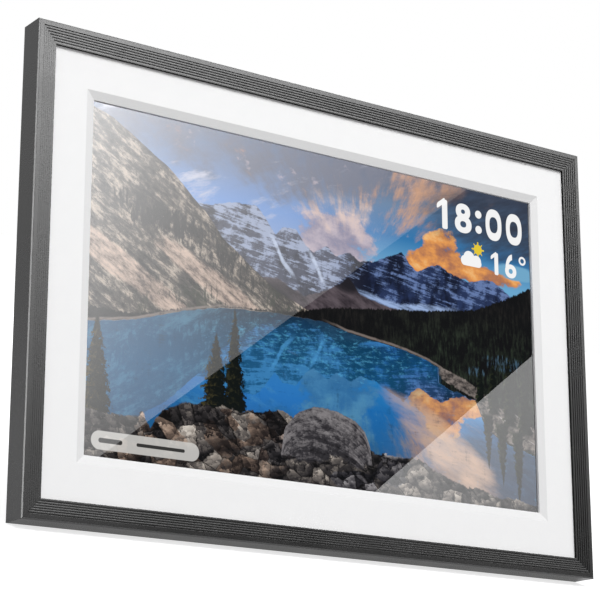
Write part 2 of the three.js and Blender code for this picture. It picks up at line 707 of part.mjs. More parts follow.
// An opening through the right-hand wall, from its half height in Y and half length in Z
const INLET_OPENING = { shift: 0.3, halfY: 2, halfZ: 5, radius: 1.9 };
const CARD_OPENING = { shift: -0.4, halfY: 1, halfZ: 6.4, radius: 0.9 };
const BUTTON_OPENING = { halfY: BUTTON_HALF[0] + 0.35, halfZ: BUTTON_HALF[1] + 0.35, radius: 1.9 };

function wallOpening(y, z, { halfY, halfZ, radius }) {
  const shape = roundedRect(0, 0, halfY, halfZ, radius);
  return plate(shape, [-SIDE_WALL - 3, -SIDE_WALL + 3], 3).rotateZ(Math.PI / 2).translate(0, y, z);
}

const WELL = { outer: 4.2, inner: 2.9, bottom: 13.5, seat: 15, hole: [12, 16] };
const bracketRods = ({ radius, depths }, sides) => (
  [-1, 1].map((side) => rod(side * BRACKET_SCREW_X, PIN_Z, radius, depths, sides))
);
const CORNER_COUNTERSINK = { radius: 1.7, depths: [10.8, 13] };
const CORNER_HOLE = [9, 13];
const cavity = faceRect(HUMP_INSET + COVER_WALL, CAVITY_CORNER);
const humpShell = build([hump()], [
  box([-WIDTH, WIDTH], [0, FLANGE[0] + 0.2], [-10, HEIGHT + 10]),
  plate(cavity, [FLANGE[0], HUMP_BACK - COVER_WALL]),
]);

place('rear_cover', build(
  [
    plate(faceRect(MAT_INSET), FLANGE),
    humpShell,
    recessPan,
    bay(COVER_WALL, panDepths),
    ...COVER_SCREWS.map(([x, z]) => rod(x, z, WELL.outer, [WELL.bottom, HUMP_BACK - 1], 14)),
    ...KEYHOLES.map((hole) => keyholePocket(hole, POCKET.wall)),
    ...bracketRods(BRACKET_BOSS, 12),
  ],
  [
    plate(cavity, [FLANGE[0] - 1, WELL.bottom - 1]),
    recessCut,
    bay(0, recessDepths),
    ...COVER_SCREWS.flatMap(([x, z]) => [
      rod(x, z, WELL.inner, [WELL.seat, OUTSIDE], 16),
      rod(x, z, COVER_PILOT_RADIUS, WELL.hole, 8),
    ]),
    ...KEYHOLES.flatMap((hole) => [keyholePocket(hole, 0), ...keyhole(hole)]),
    ...cornerPoints.flatMap(([x, z]) => [
      rod(x, z, CORNER_PILOT_RADIUS, CORNER_HOLE, 8),
      rod(x, z, CORNER_COUNTERSINK.radius, CORNER_COUNTERSINK.depths, 12),
    ]),
    ...bracketRods(BRACKET_PILOT, 8),
    ...slotRow(0, VENT.z, VENT),
    ...[-1, 1].flatMap((side) => slotRow(side * SPEAKER.x, SPEAKER.z, GRILLE)),
    wallOpening(SOCKET_Y + INLET_OPENING.shift, INLET_Z, INLET_OPENING),
    wallOpening(SOCKET_Y + CARD_OPENING.shift, CARD_Z, CARD_OPENING),
    wallOpening(SOCKET_Y, BUTTON_Z, BUTTON_OPENING),
  ],
), 'plastic');

// --- The whole frame, leaning back, its footprint centred on the origin -------------------------

leaning.rotation.x = -LEAN;
leaning.updateMatrixWorld(true);
const extent = new THREE.Box3().setFromObject(leaning, true);
const photoFrame = new THREE.Group();
photoFrame.add(leaning);
leaning.position.set(0, -(extent.min.y + extent.max.y) / 2, -extent.min.z);

export default photoFrame;
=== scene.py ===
"""A ten-inch digital photo frame on its easel stand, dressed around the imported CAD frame."""
import json
import math

import bmesh
import bpy
from mathutils import Matrix, Vector


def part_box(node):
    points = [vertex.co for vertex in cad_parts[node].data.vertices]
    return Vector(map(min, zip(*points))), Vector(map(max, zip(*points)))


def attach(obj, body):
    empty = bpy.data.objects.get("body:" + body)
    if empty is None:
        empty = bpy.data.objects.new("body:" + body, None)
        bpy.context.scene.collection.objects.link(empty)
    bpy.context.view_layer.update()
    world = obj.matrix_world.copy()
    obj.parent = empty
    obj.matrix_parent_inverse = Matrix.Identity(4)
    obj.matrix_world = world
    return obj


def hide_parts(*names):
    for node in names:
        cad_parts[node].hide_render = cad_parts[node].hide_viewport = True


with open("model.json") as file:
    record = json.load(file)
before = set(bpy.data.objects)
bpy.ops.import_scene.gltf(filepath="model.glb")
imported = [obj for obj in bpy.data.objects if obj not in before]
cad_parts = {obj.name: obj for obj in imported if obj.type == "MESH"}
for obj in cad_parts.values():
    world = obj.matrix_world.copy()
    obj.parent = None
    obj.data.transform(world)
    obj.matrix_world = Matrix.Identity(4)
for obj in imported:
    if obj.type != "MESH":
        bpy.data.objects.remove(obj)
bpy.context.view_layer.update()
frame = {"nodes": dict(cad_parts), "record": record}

MM = 0.001

# --- The frame's own axes: X right, Y from the front face back, Z up the picture ----------------

LEAN = math.radians(20)
WIDTH = 268 * MM
HEIGHT = 187.4 * MM
MOULDING_DEPTH = 11.8 * MM
EDGE_CHAMFER = 0.5 * MM
WINDOW_INSET = 25.9 * MM
WINDOW_WIDTH = WIDTH - 2 * WINDOW_INSET
WINDOW_HEIGHT = HEIGHT - 2 * WINDOW_INSET
PICTURE_DEPTH = 7.36 * MM
PICTURE_THICKNESS = 0.05 * MM

lowest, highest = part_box("moulding_bottom")
to_world = (
    Matrix.Translation((0, lowest[1] - EDGE_CHAMFER * math.sin(LEAN), 0))
    @ Matrix.Rotation(-LEAN, 4, "X")
)
back_edge = to_world @ Vector((0, MOULDING_DEPTH, 0))
to_world = Matrix.Translation((0, 0, -back_edge.z)) @ to_world
to_own = to_world.inverted()


def own_box(node):
    """The lowest and highest corners of a CAD node in the frame's own axes."""
    points = [to_own @ vertex.co for vertex in frame["nodes"][node].data.vertices]
    low = Vector(min(p[i] for p in points) for i in range(3))
    high = Vector(max(p[i] for p in points) for i in range(3))
    return low, high


# --- Camera --------------------------------------------------------------------------------------

CAMERA_PLACE = (-0.45734, -0.63144, -0.11686)
CAMERA_HEADING = math.radians(34.935)
CAMERA_PITCH = math.radians(15.532)
LENS = 122.77
SENSOR_WIDTH = 36


def make_camera():
    data = bpy.data.cameras.new("camera")
    data.lens = LENS
    data.sensor_width = SENSOR_WIDTH
    data.clip_start = 0.01
    camera = bpy.data.objects.new("camera", data)
    bpy.context.scene.collection.objects.link(camera)
    camera.matrix_world = (
        to_world
        @ Matrix.Translation(CAMERA_PLACE)
        @ Matrix.Rotation(-CAMERA_HEADING, 4, "Z")
        @ Matrix.Rotation(math.pi / 2 + CAMERA_PITCH, 4, "X")
    )
    bpy.context.scene.camera = camera


make_camera()
scene = bpy.context.scene
scene.view_settings.view_transform = "Standard"

# --- Node helpers --------------------------------------------------------------------------------


class Wire:
    """A node's output, with arithmetic: numbers and other wires can be added, scaled and compared."""

    def __init__(self, nodes, socket):
        self.nodes, self.socket = nodes, socket

    def __add__(self, other): return self.nodes.math("ADD", self, other)
    def __radd__(self, other): return self.nodes.math("ADD", other, self)
    def __sub__(self, other): return self.nodes.math("SUBTRACT", self, other)
    def __rsub__(self, other): return self.nodes.math("SUBTRACT", other, self)
    def __mul__(self, other): return self.nodes.math("MULTIPLY", self, other)
    def __rmul__(self, other): return self.nodes.math("MULTIPLY", other, self)
    def __truediv__(self, other): return self.nodes.math("DIVIDE", self, other)
    def __abs__(self): return self.nodes.math("ABSOLUTE", self, 0)


class Nodes:
    """A material's node tree, built by calls that take wires or numbers and give wires back."""

    def __init__(self, tree):
        self.tree = tree

    def put(self, socket, value):
        if isinstance(value, Wire):
            self.tree.links.new(value.socket, socket)
        elif socket.type == "RGBA" and len(value) == 3:
            socket.default_value = (*value, 1)
        else:
            socket.default_value = value

    def add(self, kind, inputs, output=0, **settings):
        node = self.tree.nodes.new(kind)
        for key, value in settings.items():
            setattr(node, key, value)
        for key, value in inputs.items():
            self.put(node.inputs[key], value)
        return Wire(self, node.outputs[output])

    def math(self, operation, a, b=0.0):
        return self.add("ShaderNodeMath", {0: a, 1: b}, operation=operation)

    def low(self, a, b):
        return self.math("MINIMUM", a, b)

    def high(self, a, b):
        return self.math("MAXIMUM", a, b)

    def point(self, x, y, z=0.0):
        return self.add("ShaderNodeCombineXYZ", {0: x, 1: y, 2: z})

    def split(self, vector):
        node = self.tree.nodes.new("ShaderNodeSeparateXYZ")
        self.put(node.inputs[0], vector)
        return [Wire(self, node.outputs[i]) for i in range(3)]

    def place(self):
        """Places in metres in the object's space, which is the world's at rest."""
        return self.add("ShaderNodeTexCoord", {}, output="Object")

    def noise(self, vector, scale, detail=3.0, rough=0.55):
        inputs = {"Vector": vector, "Scale": scale, "Detail": detail, "Roughness": rough}
        return self.add("ShaderNodeTexNoise", inputs)

    def cells(self, vector, scale, feature="F1", output="Distance"):
        inputs = {"Vector": vector, "Scale": scale}
        return self.add("ShaderNodeTexVoronoi", inputs, output=output, feature=feature)

    def smooth(self, value, start, end, low=0.0, high=1.0):
        """Runs smoothly from low to high as value goes from start to end."""
        inputs = {"Value": value, 1: start, 2: end, 3: low, 4: high}
        return self.add("ShaderNodeMapRange", inputs, interpolation_type="SMOOTHSTEP")

    def ramp(self, value, stops):
        """A colour ramp from (place, colour) stops."""
        node = self.tree.nodes.new("ShaderNodeValToRGB")
        elements = node.color_ramp.elements
        while len(elements) < len(stops):
            elements.new(0.5)
        for element, (place, colour) in zip(elements, stops):
            element.position = place
            element.color = (*colour, 1)
        self.put(node.inputs[0], value)
        return Wire(self, node.outputs[0])

    def curve(self, value, points):
        """A height drawn as a smooth line through (place, height) points from 0 to 1."""
        node = self.tree.nodes.new("ShaderNodeFloatCurve")
        line = node.mapping.curves[0]
        while len(line.points) < len(points):
            line.points.new(0.5, 0.5)
        for point, (place, height) in zip(line.points, points):
            point.location = (place, height)
            point.handle_type = "VECTOR"
        node.mapping.update()
        self.put(node.inputs["Value"], value)
        return Wire(self, node.outputs[0])

    def mix(self, share, a, b, blend="MIX"):
        """Colour a under colour b, as far as share goes."""
        node = self.tree.nodes.new("ShaderNodeMix")
        node.data_type = "RGBA"
        node.blend_type = blend
        self.put(node.inputs[0], share)
        self.put(node.inputs[6], a)
        self.put(node.inputs[7], b)
        return Wire(self, node.outputs[2])

    def bump(self, height, distance):
        return self.add("ShaderNodeBump", {"Height": height, "Distance": distance}, output="Normal")


def srgb(red, green, blue):
    """A linear colour from screen values of 0 to 255."""
    def linear(value):
        share = value / 255
        return share / 12.92 if share <= 0.04045 else ((share + 0.055) / 1.055) ** 2.4
    return (linear(red), linear(green), linear(blue))


def new_material(name):
    """A material, its node builder and its main shader."""
    material = bpy.data.materials.new(name)
    material.use_nodes = True
    nodes = Nodes(material.node_tree)
    return material, nodes, material.node_tree.nodes["Principled BSDF"]


def finish_of(name, dark, light, rough, grain, depth, metal=0.0):
    """A plain finish with its own grain: colour and roughness vary with noise, and bump follows it.

    grain is the noise's scale per metre and depth its bump height in metres."""
    material, nodes, shader = new_material(name)
    where = nodes.place()
    coarse = nodes.noise(where, grain / 12, 2)
    speckle = nodes.noise(where, grain, 3, 0.6)
    nodes.put(shader.inputs["Base Color"], nodes.mix(coarse * 0.6 + speckle * 0.4, dark, light))
    nodes.put(shader.inputs["Roughness"], nodes.smooth(speckle + coarse, 0.5, 1.5, rough[0], rough[1]))
    nodes.put(shader.inputs["Normal"], nodes.bump(speckle, depth))
    shader.inputs["Metallic"].default_value = metal
    return material


# --- Floor, world and lights ---------------------------------------------------------------------

FLOOR_RADIUS = 6.0
GLARE_DISTANCE = 1.5


def make_floor():
    """A pale, faintly glowing studio floor, brighter far off so that it runs into the background."""
    mesh = bpy.data.meshes.new("floor")
    shape = bmesh.new()
    bmesh.ops.create_circle(shape, cap_ends=True, segments=96, radius=FLOOR_RADIUS)
    shape.to_mesh(mesh)
    shape.free()
    floor = bpy.data.objects.new("floor", mesh)
    scene.collection.objects.link(floor)
    material, nodes, shader = new_material("floor_paper")
    where = nodes.place()
    fibre = nodes.noise(where, 900, 3)
    distance = nodes.add("ShaderNodeVectorMath", {0: where}, output="Value", operation="LENGTH")
    nodes.put(shader.inputs["Base Color"], nodes.mix(fibre, srgb(158, 158, 160), srgb(164, 164, 165)))
    nodes.put(shader.inputs["Roughness"], nodes.smooth(fibre, 0.3, 0.7, 0.85, 0.95))
    shader.inputs["Emission Color"].default_value = (1, 1, 1, 1)
    seen = nodes.smooth(distance, 0.1, 1.0, 0.74, 0.86)
    mirrored = nodes.add("ShaderNodeLightPath", {}, output="Is Glossy Ray")
    nodes.put(shader.inputs["Emission Strength"], seen + mirrored * (0.34 - seen))
    floor.visible_diffuse = False
    mesh.materials.append(material)


def make_world():
    """White to the eye; for lighting, softer from below than from above, and dark in front of the glass."""
    world = bpy.data.worlds.new("studio")
    world.use_nodes = True
    scene.world = world
    nodes = Nodes(world.node_tree)
    background = world.node_tree.nodes["Background"]
    path = world.node_tree.nodes.new("ShaderNodeLightPath")
    seen = Wire(nodes, path.outputs["Is Camera Ray"])
    glossy, passed = (Wire(nodes, path.outputs[f"Is {kind} Ray"]) for kind in ("Glossy", "Transmission"))
    mirrored = nodes.high(glossy, passed)
    _, behind, above = nodes.split(nodes.add("ShaderNodeTexCoord", {}, output="Generated"))
    soft = nodes.smooth(above, -0.5, 0.6, 0.27, 0.6)
    gloss = nodes.smooth(behind, -0.2, 0.4, 0.04, 0.7)
    lighting = soft + mirrored * (gloss - soft)
    background.inputs["Color"].default_value = (1, 1, 1, 1)
    nodes.put(background.inputs["Strength"], lighting + seen * (1 - lighting))


def area_light(name, place, target, size, power):
    """A soft rectangular lamp; place and target are in the frame's own axes."""
    data = bpy.data.lights.new(name, "AREA")
    data.shape = "RECTANGLE"
    data.size, data.size_y = size
    data.energy = power
    lamp = bpy.data.objects.new(name, data)
    scene.collection.objects.link(lamp)
    start, end = to_world @ Vector(place), to_world @ Vector(target)
    aim = (end - start).to_track_quat("-Z", "Y").to_matrix().to_4x4()
    lamp.matrix_world = Matrix.Translation(start) @ aim


def reflection_card(name, outline, place, glow):
    """A glowing card that only reflections see: an outline of (across, up) points, set in the world by the
    matrix place. glow(nodes, across, up) is its strength."""
    mesh = bpy.data.meshes.new(name)
    mesh.from_pydata([(across, up, 0) for across, up in outline], [], [range(len(outline))])
    card = bpy.data.objects.new(name, mesh)
    scene.collection.objects.link(card)
    card.matrix_world = place
    material, nodes, shader = new_material(name)
    across, up, _ = nodes.split(nodes.place())
    shader.inputs["Base Color"].default_value = (0, 0, 0, 1)
    shader.inputs["Emission Color"].default_value = (1, 1, 1, 1)
    nodes.put(shader.inputs["Emission Strength"], glow(nodes, across, up))
    mesh.materials.append(material)
    for kind in ("camera", "diffuse", "volume_scatter", "shadow"):
        setattr(card, f"visible_{kind}", False)


def glare_card(name, outline, glow):
    """A card that stands where the picture's gloss mirrors it over an outline in window fractions."""
    eye = Vector((CAMERA_PLACE[0], 2 * PICTURE_DEPTH - CAMERA_PLACE[1], CAMERA_PLACE[2]))
    reach = (eye.y + GLARE_DISTANCE) / (eye.y - PICTURE_DEPTH)
    wide, tall = WINDOW_WIDTH * reach, WINDOW_HEIGHT * reach
    corner = (eye.x + (WINDOW_INSET - WIDTH / 2 - eye.x) * reach, -GLARE_DISTANCE,
              eye.z + (WINDOW_INSET - eye.z) * reach)
    axes = Matrix(((wide, 0, 0, corner[0]), (0, 0, 1, corner[1]), (0, tall, 0, corner[2]), (0, 0, 0, 1)))
    reflection_card(name, outline, to_world @ axes, glow)


def upper_glow(nodes, across, up):
    fade = nodes.math("EXPONENT", nodes.high(across, 0) * -3.2 + (up - 1) * 1.4)
    return nodes.low(fade * 7.6, 9)


def top_glow(nodes, across, up):
    return nodes.smooth(across, 0.0, 1.2, 13, 8)


def lower_glow(nodes, across, up):
    fall = nodes.smooth(across * 1.267 - up - 0.773, 0, 0.9, 2.4, 1.3)
    return fall * nodes.smooth(up, -0.22, 0.0)


def right_glow(nodes, across, up):
    return nodes.smooth(up, 0.1, 1.1, 2, 9)


def edge_glow(nodes, across, up):
    return nodes.smooth(up, -0.4, 0.45, 8, 9)


def edge_card():
    """A tall strip that lights the bevel on the left front edge."""
    place = (
        to_world @ Matrix.Translation((-1.42, -0.657, 0.495)) @ Matrix.Rotation(math.radians(-63), 4, "Z")
        @ Matrix.Rotation(math.pi / 2, 4, "X")
    )
    reflection_card("edge_card", [(-0.28, -0.5), (0.28, -0.5), (0.28, 0.5), (-0.28, 0.5)], place, edge_glow)


make_floor()
make_world()
edge_card()
MIDDLE = (0, 0, HEIGHT / 2)
area_light("key", (0, -1.41, 1.5), MIDDLE, (1.3, 1.0), 33)
area_light("rim", (0.5, 0.9, 0.9), (0, 0.03, 0.05), (0.8, 0.8), 6)
glare_card("glare_upper", [(-0.9, -1.153), (0.9, 1.07), (0.9, 1.14), (-0.9, 1.14)], upper_glow)
glare_card("glare_top", [(-0.5, 1.16), (1.5, 1.16), (1.5, 1.9), (-0.5, 1.9)], top_glow)
glare_card("glare_lower", [(0.2, -0.52), (2, -0.52), (2, 1.761)], lower_glow)
glare_card("glare_right", [(1.06, 0.1), (1.5, 0.1), (1.5, 1.1), (1.06, 1.1)], right_glow)

# --- Materials of the CAD nodes ------------------------------------------------------------------


def own_place(nodes):
    """Places in the frame's own axes, in metres, as three wires."""
    x, y, z = nodes.split(nodes.place())
    turned = [y * row[1] + z * row[2] + row[3] for row in (to_own[1], to_own[2])]
    return x, turned[0], turned[1]


def moulding_finish():
    """Dark grey satin paint over a moulded bar, with a painted highlight: a lighter colour along its outer
    front edge.
    """
    material, nodes, shader = new_material("moulding_paint")
    where = nodes.place()
    cloud = nodes.noise(where, 40, 2)
    speck = nodes.noise(where, 2600, 3, 0.6)
    colour = nodes.mix(cloud * 0.5 + speck * 0.5, srgb(22, 22, 22), srgb(29, 29, 29))
    x, depth, height = own_place(nodes)
    inset = nodes.low(WIDTH / 2 - abs(x), HEIGHT / 2 - abs(height - HEIGHT / 2))
    # Painted highlight: the outer front chamfer is coloured lighter, in speckled patches, to stand in for the
    # light it catches.
    painted_edge_highlight = nodes.smooth(nodes.high(inset, depth), 0.58 * MM, 0.5 * MM)
    painted_edge_highlight = painted_edge_highlight * nodes.smooth(speck, 0.2, 0.6, 0.7, 1)
    colour = nodes.mix(painted_edge_highlight, colour, srgb(98, 98, 98))
    nodes.put(shader.inputs["Base Color"], colour)
    nodes.put(shader.inputs["Roughness"], nodes.smooth(speck + cloud, 0.6, 1.4, 0.21, 0.3))
    nodes.put(shader.inputs["Normal"], nodes.bump(speck, 0.008 * MM))
    shader.inputs["Specular IOR Level"].default_value = 0.5
    return material


def mat_finish():
    """White card with a faint tooth; its cut bevel round the window is a little greyer."""
    material, nodes, shader = new_material("mat_card")
    where = nodes.place()
    tooth = nodes.noise(where, 2400, 4, 0.65)
    pulp = nodes.noise(where, 160, 2)
    face = nodes.mix(tooth * 0.6 + pulp * 0.4, srgb(238, 238, 239), srgb(245, 245, 245))
    cut = nodes.mix(tooth, srgb(224, 224, 225), srgb(232, 232, 232))
    normal = nodes.add("ShaderNodeNewGeometry", {}, output="True Normal")
    out = to_world.to_3x3() @ Vector((0, -1, 0))
    facing = nodes.add("ShaderNodeVectorMath", {0: normal, 1: tuple(out)}, output="Value",
                       operation="DOT_PRODUCT")
    nodes.put(shader.inputs["Base Color"], nodes.mix(nodes.smooth(facing, 0.99, 0.97), face, cut))
    nodes.put(shader.inputs["Roughness"], nodes.smooth(tooth, 0.3, 0.7, 0.8, 0.95))
    nodes.put(shader.inputs["Normal"], nodes.bump(tooth, 0.015 * MM))
    shader.inputs["Specular IOR Level"].default_value = 0.25
    return material


def glass_finish():
    """Clear cover glass, bonded to the panel: the picture behind it carries the gloss of both. Its low alpha
    lets rays pass without a bounce, which keeps the gloss behind it free of noise."""
    material, nodes, shader = new_material("cover_glass")
    smear = nodes.noise(nodes.place(), 18, 2)
    shader.inputs["Transmission Weight"].default_value = 1.0
    shader.inputs["IOR"].default_value = 1.0
    shader.inputs["Specular IOR Level"].default_value = 0
    shader.inputs["Alpha"].default_value = 0.02
    shader.inputs["Base Color"].default_value = (1, 1, 1, 1)
    nodes.put(shader.inputs["Roughness"], nodes.smooth(smear, 0.4, 0.8, 0.0, 0.012))
    return material


MATERIALS = {
    "moulding_plastic": moulding_finish(),
    "mat_card": mat_finish(),
    "gasket_foam": finish_of("gasket_foam", srgb(120, 121, 124), srgb(150, 151, 153),
                             (0.85, 0.95), 3000, 0.05 * MM),
    "glass": glass_finish(),
    "screen": finish_of("lcd_face", srgb(8, 9, 11), srgb(13, 14, 17), (0.3, 0.4), 900, 0.002 * MM),
    "backlight": finish_of("backlight_tray", srgb(150, 152, 155), srgb(180, 182, 184),
                           (0.3, 0.45), 700, 0.01 * MM, metal=0.9),
    "inner_plastic": finish_of("inner_plastic", srgb(26, 26, 28), srgb(36, 36, 38),
                               (0.5, 0.65), 1800, 0.02 * MM),
    "chassis_metal": finish_of("zinc_sheet", srgb(150, 152, 154), srgb(182, 184, 186),
                               (0.3, 0.5), 300, 0.01 * MM, metal=1.0),
    "steel": finish_of("screw_steel", srgb(150, 150, 152), srgb(190, 190, 192),
                       (0.22, 0.4), 2000, 0.006 * MM, metal=1.0),
    "board_green": finish_of("board_green", srgb(16, 66, 40), srgb(28, 92, 56), (0.35, 0.5), 900, 0.02 * MM),
    "cover_plastic": finish_of("cover_plastic", srgb(34, 34, 36), srgb(44, 44, 46),
                               (0.55, 0.72), 2200, 0.035 * MM),
    "button_plastic": finish_of("button_plastic", srgb(30, 30, 32), srgb(38, 38, 40),
                                (0.35, 0.45), 2600, 0.01 * MM),
    "lead_rubber": finish_of("lead_rubber", srgb(16, 16, 17), srgb(26, 26, 27), (0.5, 0.65), 2600, 0.01 * MM),
    "flex_copper": finish_of("flex_copper", srgb(150, 92, 40), srgb(190, 122, 60),
                             (0.3, 0.45), 700, 0.004 * MM, metal=0.3),
    "foot_rubber": finish_of("foot_rubber", srgb(18, 18, 19), srgb(30, 30, 31), (0.75, 0.9), 2400, 0.04 * MM),
}

for row in frame["record"]["subparts"]:
    piece = frame["nodes"][row["node"]]
    piece.data.materials.clear()
    piece.data.materials.append(MATERIALS[row["material_slot"]])


def soften(node, width):
    """Rounds a CAD node's sharp edges, for the eye only."""
    piece = frame["nodes"][node]
    flat = piece.modifiers.new("join_flat_faces", "DECIMATE")
    flat.decimate_type = "DISSOLVE"
    flat.angle_limit = math.radians(1)
    bevel = piece.modifiers.new("soft_edges", "BEVEL")
    bevel.width = width
    bevel.segments = 2
    bevel.limit_method = "ANGLE"
    bevel.angle_limit = math.radians(30)


for node, width in (("stand_leg", 0.25), ("stand_foot_pad", 0.3), ("power_button", 0.2),
                    ("stand_bracket_left", 0.12), ("stand_bracket_right", 0.12)):
    soften(node, width * MM)

# The card's dark underside would otherwise mirror as a line at the glass's edge
for node in ("mat", "screen_gasket"):
    frame["nodes"][node].visible_glossy = False
    frame["nodes"][node].visible_transmission = False

# --- Moulding ------------------------------------------------------------------------------------

# Millimetres: inset from the outside, and depth from the front
BAND = 2.3
REEDS = 6
REED_RUN = 0.94
REED_DROP = 0.28
REED_GROOVE = 0.01
REED_CROWN = 0.04
REED_SIDES = 8
FACE = 8.2
LIP_BACK = 2.72
WALL = 3.0
DEPTH = MOULDING_DEPTH / MM
MITRE_GAP = 0.03


def moulding_profile():
    """(inset, depth) in mm, from the outer back edge round the front to the lip: a chamfered corner, a plain
    band, then reeds that step in and back, each with a rounded crown."""
    points = [(0, DEPTH), (0, 0.64), (0, 0.56), (0.02, 0.5), (0.06, 0.44), (0.1, 0.4), (0.4, 0.1),
              (0.44, 0.06), (0.5, 0.02), (0.56, 0), (0.64, 0)]
    points += [(BAND - 0.16, 0), (BAND - 0.1, 0), (BAND - 0.03, 0.03), (BAND, 0.1)]
    for reed in range(REEDS):
        start = BAND + reed * REED_RUN
        end = FACE if reed == REEDS - 1 else start + REED_RUN
        for step in range(REED_SIDES + 1):
            share = step / REED_SIDES
            crown = REED_CROWN * (1 - (2 * share - 1) ** 2)
            points.append((start + (end - start) * share, (reed + 1) * REED_DROP + REED_GROOVE - crown))
    return points + [(FACE, LIP_BACK), (WALL, LIP_BACK), (WALL, DEPTH)]


def moulding_length(side, corner, along, inward, length):
    """One length of moulding, mitred at both ends; corner, along and inward are (x, z) in own axes."""
    mesh = bpy.data.meshes.new(f"moulding_{side}_reeded")
    shape = bmesh.new()
    ends = []
    for start in (True, False):
        ring = []
        for inset, depth in moulding_profile():
            run = (inset + MITRE_GAP) * MM if start else length - (inset + MITRE_GAP) * MM
            x = corner[0] + inward[0] * inset * MM + along[0] * run
            z = corner[1] + inward[1] * inset * MM + along[1] * run
            ring.append(shape.verts.new(to_world @ Vector((x, depth * MM, z))))
        ends.append(ring)
    first, last = ends
    count = len(first)
    for i in range(count):
        shape.faces.new((first[i], first[(i + 1) % count], last[(i + 1) % count], last[i]))
    shape.faces.new(first)
    shape.faces.new(last)
    bmesh.ops.recalc_face_normals(shape, faces=shape.faces)
    shape.to_mesh(mesh)
    shape.free()
    mesh.shade_smooth()
    mesh.set_sharp_from_angle(angle=math.radians(28))
    piece = bpy.data.objects.new(mesh.name, mesh)
    scene.collection.objects.link(piece)
    mesh.materials.append(MATERIALS["moulding_plastic"])
    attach(piece, "frame_body")
    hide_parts(f"moulding_{side}")


moulding_length("left", (-WIDTH / 2, 0), (0, 1), (1, 0), HEIGHT)
moulding_length("bottom", (-WIDTH / 2, 0), (1, 0), (0, 1), WIDTH)
moulding_length("right", (WIDTH / 2, 0), (0, 1), (-1, 0), HEIGHT)
moulding_length("top", (-WIDTH / 2, HEIGHT), (1, 0), (0, -1), WIDTH)

# --- The picture on the screen -------------------------------------------------------------------


def slab(name, low, high, material):
    """A thin plate, in the frame's own axes."""
    mesh = bpy.data.meshes.new(name)
    shape = bmesh.new()
    bmesh.ops.create_cube(shape, size=1)
    for vertex in shape.verts:
        vertex.co = [low[i] + (high[i] - low[i]) * (vertex.co[i] + 0.5) for i in range(3)]
    bmesh.ops.transform(shape, matrix=to_world, verts=shape.verts)
    shape.to_mesh(mesh)
    shape.free()
    piece = bpy.data.objects.new(name, mesh)
    scene.collection.objects.link(piece)
    mesh.materials.append(material)
    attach(piece, "frame_body")


ASPECT = WINDOW_WIDTH / WINDOW_HEIGHT
MIRROR = 0.522

# Outlines of the landscape as (across, up) fractions of the window
SLOPE = [(0, 1), (0.05, 0.975), (0.1, 0.928), (0.16, 0.87), (0.2, 0.815), (0.24, 0.76), (0.28, 0.69),
         (0.33, 0.63), (0.4, 0.56), (0.46, 0.52), (1, 0.5)]
PEAKS = [(0, 0.74), (0.22, 0.775), (0.27, 0.785), (0.31, 0.806), (0.355, 0.803), (0.373, 0.772),
         (0.393, 0.73), (0.41, 0.757), (0.44, 0.76), (0.46, 0.718), (0.48, 0.7), (0.51, 0.727),
         (0.53, 0.7), (0.56, 0.722), (0.585, 0.7), (0.62, 0.71), (0.655, 0.735), (0.685, 0.757),
         (0.7, 0.732), (0.72, 0.703), (0.75, 0.728), (0.775, 0.742), (0.8, 0.722), (0.85, 0.706),
         (0.9, 0.726), (0.93, 0.708), (0.96, 0.68), (1, 0.66)]
FOOTHILL = [(0, 0.6), (0.25, 0.6), (0.33, 0.59), (0.4, 0.6), (0.46, 0.56), (0.52, 0.6), (0.56, 0.645),
            (0.585, 0.6), (0.65, 0.575), (1, 0.57)]
FOREST = [(0, 0.42), (0.1, 0.42), (0.2, 0.46), (0.3, 0.49), (0.4, 0.5), (0.44, 0.51), (0.5, 0.535),
          (0.56, 0.55), (0.65, 0.568), (0.75, 0.588), (0.87, 0.622), (0.93, 0.665), (1, 0.72)]
SHORE = [(0, 0.375), (0.1, 0.402), (0.2, 0.452), (0.28, 0.482), (0.4, 0.494), (0.5, 0.494),
         (0.56, 0.474), (0.68, 0.452), (0.74, 0.432), (0.8, 0.398), (1, 0.38)]
ROCKS = [(0, 0.13), (0.12, 0.14), (0.137, 0.11), (0.16, 0.16), (0.2, 0.187), (0.24, 0.186), (0.28, 0.202),
         (0.32, 0.182), (0.36, 0.2), (0.41, 0.205), (0.46, 0.18), (0.59, 0.14),
         (0.615, 0.12), (0.7, 0.125), (0.77, 0.09), (0.85, 0.055), (1, 0.03)]
DOME = [(0, 0), (0.4, 0), (0.415, 0.16), (0.44, 0.205), (0.48, 0.234), (0.53, 0.232), (0.57, 0.212),
        (0.595, 0.18), (0.607, 0.13), (0.615, 0), (1, 0)]
SNOWLINE = [(0, 0.6), (0.56, 0.608), (0.62, 0.59), (0.68, 0.578), (0.74, 0.592), (0.84, 0.6), (1, 0.6)]
RIGHT_SHORE = [(0, 0), (0.76, 0.37), (0.8, 0.352), (0.86, 0.33), (0.875, 0.28), (0.9, 0.235),
               (0.95, 0.205), (1, 0.185)]


